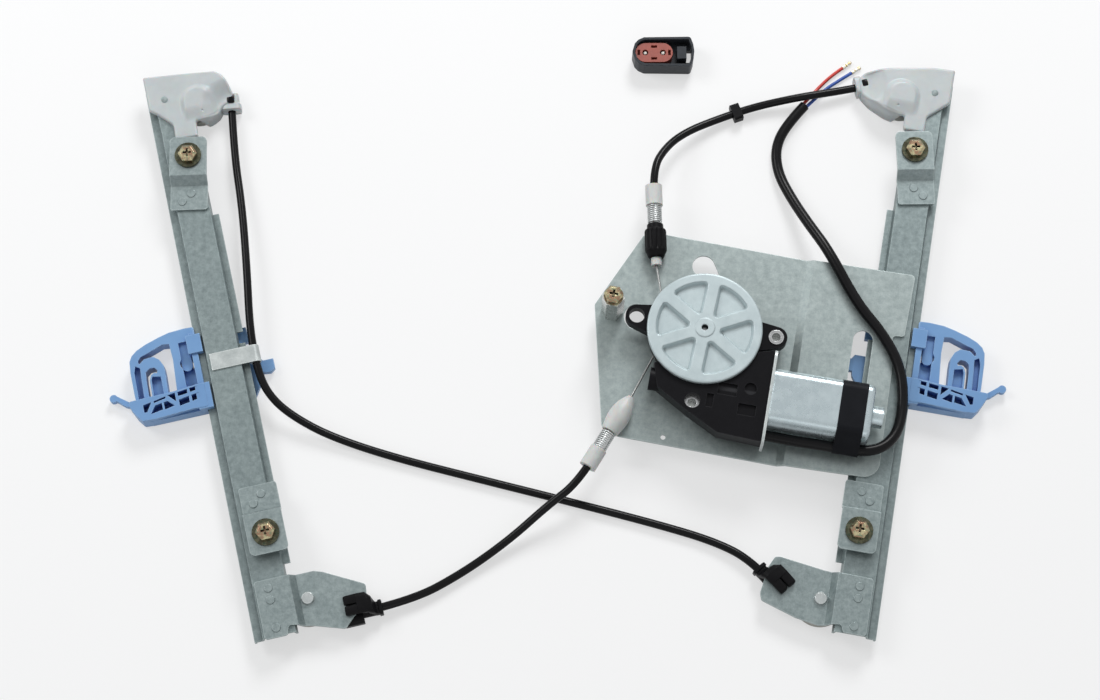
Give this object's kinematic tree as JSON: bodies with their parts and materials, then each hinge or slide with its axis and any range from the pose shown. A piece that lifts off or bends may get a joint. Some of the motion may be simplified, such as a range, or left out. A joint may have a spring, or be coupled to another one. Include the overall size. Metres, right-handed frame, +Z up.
{
  "type": "window regulator",
  "caption": "Twin-rail cable window regulator: two pressed steel rails with blue glass sliders, cable pulleys, motor plate, worm gear motor, conduits and lead",
  "frame": {"origin": "bottom centre of the bounding box of the regulator without its conduits, lead and wires: a point on the table midway between the rails", "axes": "+X from the left rail to the right rail, +Y from the rails' feet to their heads, +Z up from the table, towards the motor side"},
  "size_m": [0.6664, 0.4756, 0.0562],
  "materials": {
    "zinc": "bright zinc, mottled",
    "nylon": "milky nylon",
    "blue": "satin moulding",
    "pulley": "natural nylon",
    "cable": "stranded",
    "housing": "satin black",
    "cover": "pressed zinc",
    "screw": "yellow passivated",
    "yoke": "bright zinc",
    "tape": "cloth tape",
    "conduit": "glossy",
    "milky": "milky nylon",
    "spring": "zinc wire",
    "copper": "windings",
    "magnet": "ferrite",
    "steel": "ground",
    "wheel": "acetal",
    "red": "insulation",
    "blue_wire": "insulation",
    "tin": "tinned",
    "shell": "satin",
    "insert": "brick"
  },
  "bodies": {
    "base": {"adjuster_boot": "milky", "adjuster_ferrules": "milky", "adjuster_sleeve": "housing", "adjuster_springs": "spring", "blue_wire": "blue_wire", "brush_holder": "housing", "cable_clip": "zinc", "conduit_cross": "conduit", "conduit_ends": "housing", "conduit_lower": "conduit", "conduit_tie": "housing", "conduit_upper": "conduit", "connector_insert": "insert", "connector_pins": "tin", "connector_shell": "shell", "cross_screws": "screw", "drum_cables": "cable", "end_plate_left": "zinc", "end_plate_right": "zinc", "gear_cover": "cover", "gear_housing": "housing", "lower_bracket_left": "zinc", "lower_bracket_right": "zinc", "magnets": "magnet", "motor_bushes": "steel", "motor_flange": "yoke", "motor_lead": "conduit", "motor_plate": "zinc", "motor_screws": "zinc", "pulley_housing_left": "nylon", "pulley_housing_right": "nylon", "pulley_pins": "steel", "rail_cables": "cable", "rail_left": "zinc", "rail_right": "zinc", "rail_washers": "zinc", "red_wire": "red", "standoff": "zinc", "tape_band": "tape", "upper_bracket_left": "zinc", "upper_bracket_right": "zinc", "wire_terminals": "tin", "yoke": "yoke", "yoke_bearing": "steel"},
    "rotor": {"worm": "steel", "armature_shaft": "steel", "armature": "copper", "commutator": "copper"},
    "drum": {"cable_drum": "housing", "output_shaft": "steel", "worm_wheel": "wheel"},
    "slider_left": {"slider_left": "blue", "cable_nipples_left": "cable"},
    "slider_right": {"slider_right": "blue", "cable_nipples_right": "cable"},
    "pulley_bottom_left": {"bottom_pulley_left": "pulley"},
    "pulley_bottom_right": {"bottom_pulley_right": "pulley"},
    "pulley_top_left": {"top_pulley_left": "pulley"},
    "pulley_top_right": {"top_pulley_right": "pulley"}
  },
  "joints": [
    {"name": "motor_spin", "type": "hinge", "parent": "base", "child": "rotor", "pos_m": [0.15526, -0.05949, 0.0348], "axis": [-0.9842, 0.1771, 0], "range_deg": [-20502.9, 22963.2]},
    {"name": "drum_spin", "type": "hinge", "parent": "base", "child": "drum", "pos_m": [0.10542, -0.00785, 0.0348], "axis": [0, 0, 1], "range_deg": [-281.4, 315.2]},
    {"name": "glass_slide_left", "type": "slide", "parent": "base", "child": "slider_left", "axis": [-0.2284, 0.9736, 0], "range_m": [-0.12525, 0.14028]},
    {"name": "glass_slide_right", "type": "slide", "parent": "base", "child": "slider_right", "axis": [0.1771, 0.9842, 0], "range_m": [-0.12525, 0.14028]},
    {"name": "bottom_pulley_spin_left", "type": "hinge", "parent": "base", "child": "pulley_bottom_left", "pos_m": [-0.18253, -0.20247, 0.006], "axis": [0, 0, 1], "range_deg": [-472.8, 422.1]},
    {"name": "top_pulley_spin_left", "type": "hinge", "parent": "base", "child": "pulley_top_left", "pos_m": [-0.27847, 0.18466, 0.006], "axis": [0, 0, 1], "range_deg": [-669.8, 598]},
    {"name": "bottom_pulley_spin_right", "type": "hinge", "parent": "base", "child": "pulley_bottom_right", "pos_m": [0.18691, -0.20266, 0.006], "axis": [0, 0, 1], "range_deg": [-422.1, 472.8]},
    {"name": "top_pulley_spin_right", "type": "hinge", "parent": "base", "child": "pulley_top_right", "pos_m": [0.26245, 0.18896, 0.006], "axis": [0, 0, 1], "range_deg": [-598, 669.8]}
  ],
  "couplings": [
    {"joint": "drum_spin", "follows": "motor_spin", "ratio": 0.013699},
    {"joint": "glass_slide_left", "follows": "motor_spin", "m_per_rad": 0.00034932},
    {"joint": "glass_slide_right", "follows": "motor_spin", "m_per_rad": 0.00034932},
    {"joint": "bottom_pulley_spin_left", "follows": "motor_spin", "ratio": -0.020548},
    {"joint": "top_pulley_spin_left", "follows": "motor_spin", "ratio": -0.02911},
    {"joint": "bottom_pulley_spin_right", "follows": "motor_spin", "ratio": 0.020548},
    {"joint": "top_pulley_spin_right", "follows": "motor_spin", "ratio": 0.02911}
  ]
}
